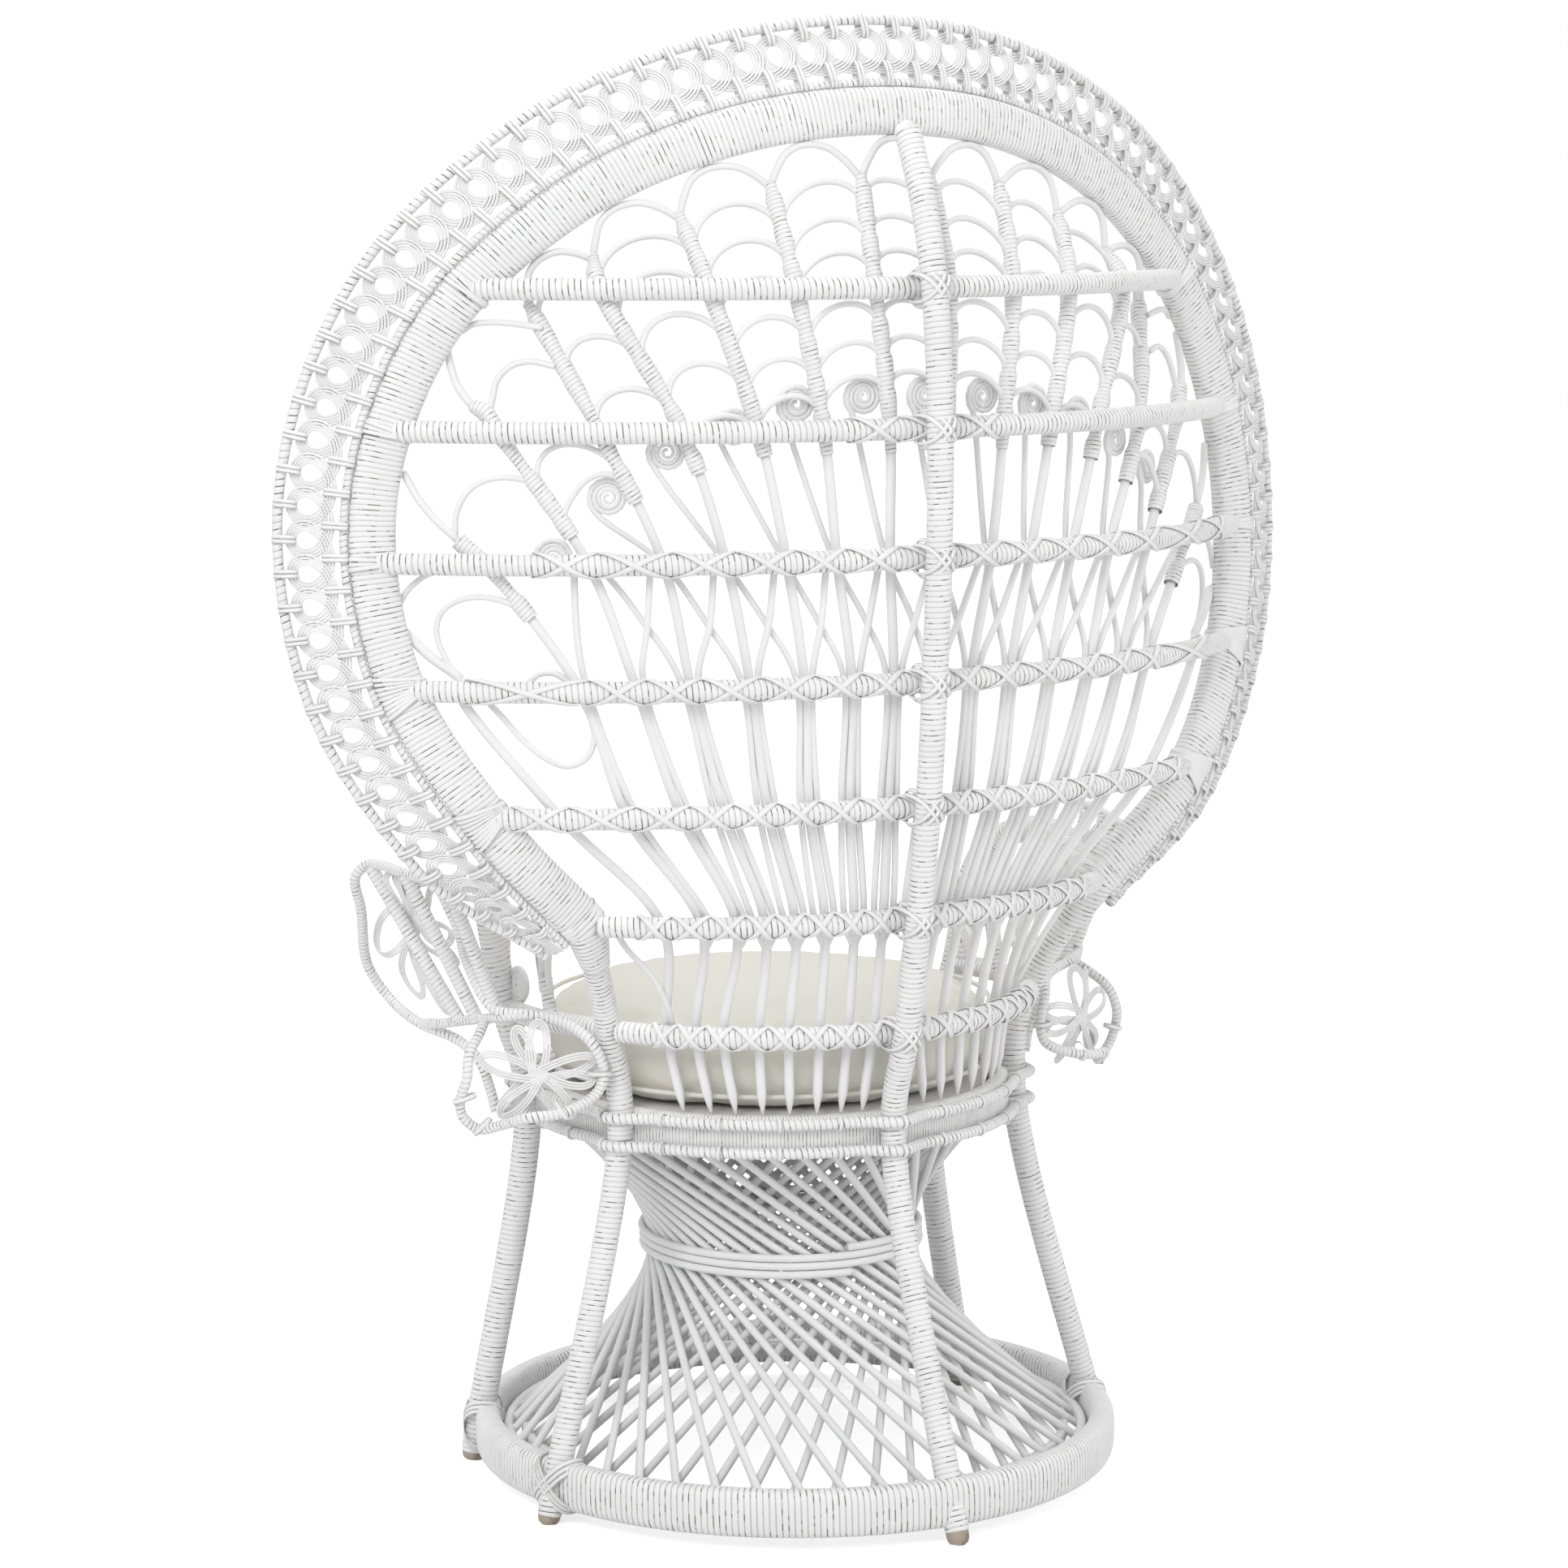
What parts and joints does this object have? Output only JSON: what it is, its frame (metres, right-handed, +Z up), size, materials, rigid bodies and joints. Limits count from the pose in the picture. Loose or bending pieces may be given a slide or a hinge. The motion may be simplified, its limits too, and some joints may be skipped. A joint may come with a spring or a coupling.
{
  "type": "peacock chair",
  "caption": "Peacock chair of wrapped rattan: tall oval openwork back in a flared lace hoop, hourglass rod base, openwork arms and a round loose cushion.",
  "frame": {"origin": "on the floor, under the middle of the chair's own extent", "axes": "+Z up, the sitter faces -Y and the sitter's left is +X"},
  "size_m": [1.0832, 0.6382, 1.3943],
  "materials": {
    "paint": "white paint over wrapped cane, satin, with dark gaps between the wraps",
    "paint_shade": "white paint over bare rods, satin",
    "cushion_fabric": "cream woven cotton, matte, with fabric piping"
  },
  "bodies": {
    "root": {"base_ring": "paint", "base_rods_outer": "paint", "base_rods_inner": "paint_shade", "waist_binding": "paint", "seat_band": "paint", "seat_upper_cane": "paint", "seat_lower_cane": "paint", "seat_frame_ring": "paint_shade", "seat_deck": "paint_shade", "seat_cushion": "cushion_fabric", "post_back_centre": "paint", "post_side_left": "paint", "post_side_right": "paint", "post_front_left": "paint", "post_front_right": "paint", "back_hoop": "paint", "lace_inner_cane": "paint", "lace_outer_cane": "paint", "lace_border": "paint", "back_rail_1": "paint", "back_rail_2": "paint", "back_rail_3": "paint", "back_rail_4": "paint", "back_rail_5": "paint", "back_rail_6": "paint", "back_rail_7": "paint", "side_rail_left": "paint", "side_rail_right": "paint", "rib_left_1": "paint", "rib_left_2": "paint", "rib_left_3": "paint", "rib_left_4": "paint", "rib_left_5": "paint", "rib_left_6": "paint", "rib_left_7": "paint", "rib_left_8": "paint", "rib_right_1": "paint", "rib_right_2": "paint", "rib_right_3": "paint", "rib_right_4": "paint", "rib_right_5": "paint", "rib_right_6": "paint", "rib_right_7": "paint", "rib_right_8": "paint", "arm_edge_front_left": "paint", "arm_edge_front_right": "paint", "arm_edge_back_left": "paint", "arm_edge_back_right": "paint", "arm_spindle_1_left": "paint", "arm_spindle_1_right": "paint", "arm_spindle_2_left": "paint", "arm_spindle_2_right": "paint", "arm_spindle_3_left": "paint", "arm_spindle_3_right": "paint", "arm_knotwork_left": "paint", "arm_knotwork_right": "paint", "side_screen_left": "paint", "side_screen_right": "paint"}
  },
  "joints": []
}
